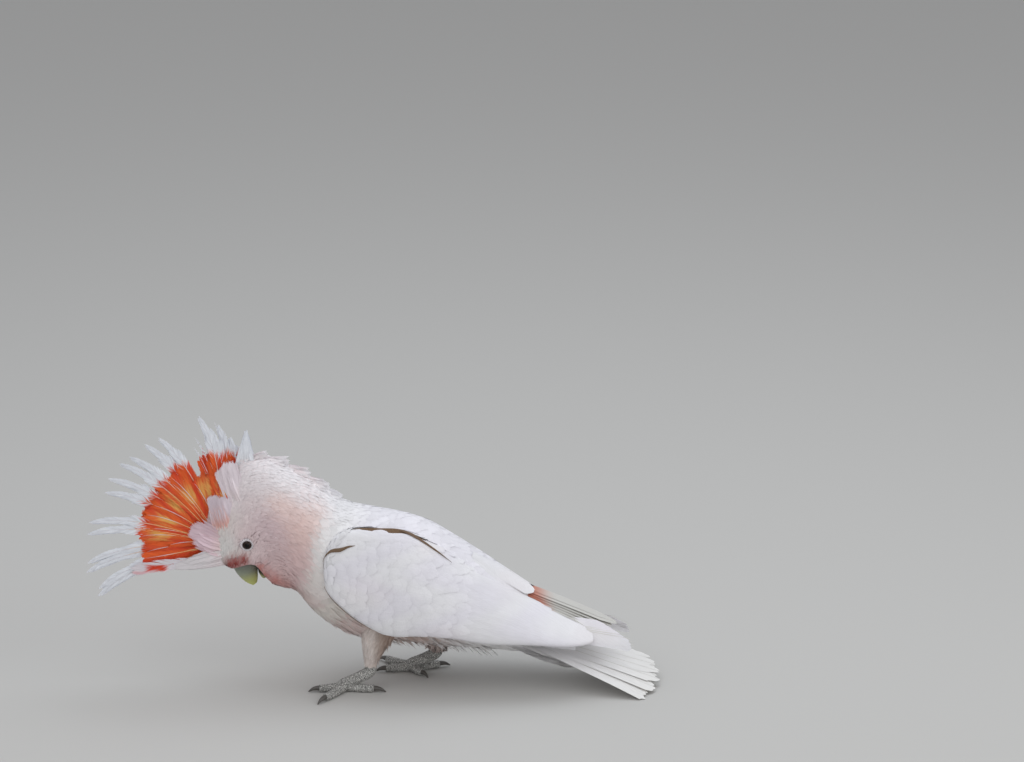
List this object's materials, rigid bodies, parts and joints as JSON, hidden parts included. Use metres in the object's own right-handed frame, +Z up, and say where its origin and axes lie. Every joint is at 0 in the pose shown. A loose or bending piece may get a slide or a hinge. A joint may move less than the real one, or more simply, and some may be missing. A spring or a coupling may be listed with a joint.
{
  "type": "pink cockatoo, still life-size model",
  "caption": "Life-size still model of a pink cockatoo standing with its head bowed and its long crest fanned out.",
  "frame": {"origin": "under the middle of the bird's bounding box, at the level it stands on", "axes": "-X towards the crest and bill, +X towards the tail, -Y to the bird's left, +Z up"},
  "size_m": [0.4604, 0.106, 0.2214],
  "materials": {
    "plumage_pink": "soft salmon-pink feathers, matt",
    "plumage_white": "smooth white feathers, matt, with a faint lilac shade",
    "plumage_crest": "orange-scarlet feathers with long white tips, matt",
    "horn": "pale bone-grey horn, greener to the tip, satin",
    "eye": "dark brown, wet gloss",
    "foot_skin": "grey granular scaly skin, matt",
    "claw": "dark grey horn, satin"
  },
  "bodies": {
    "root": {"head": "plumage_pink", "neck": "plumage_pink", "trunk": "plumage_white", "tail": "plumage_white", "crest": "plumage_crest", "bill_upper": "horn", "bill_lower": "horn", "eye_left": "eye", "eye_right": "eye", "wing_left": "plumage_white", "wing_right": "plumage_white", "thigh_left": "plumage_pink", "thigh_right": "plumage_pink", "foot_left": "foot_skin", "foot_right": "foot_skin", "claw_left_1": "claw", "claw_left_2": "claw", "claw_left_3": "claw", "claw_left_4": "claw", "claw_right_1": "claw", "claw_right_2": "claw", "claw_right_3": "claw", "claw_right_4": "claw"}
  },
  "joints": []
}
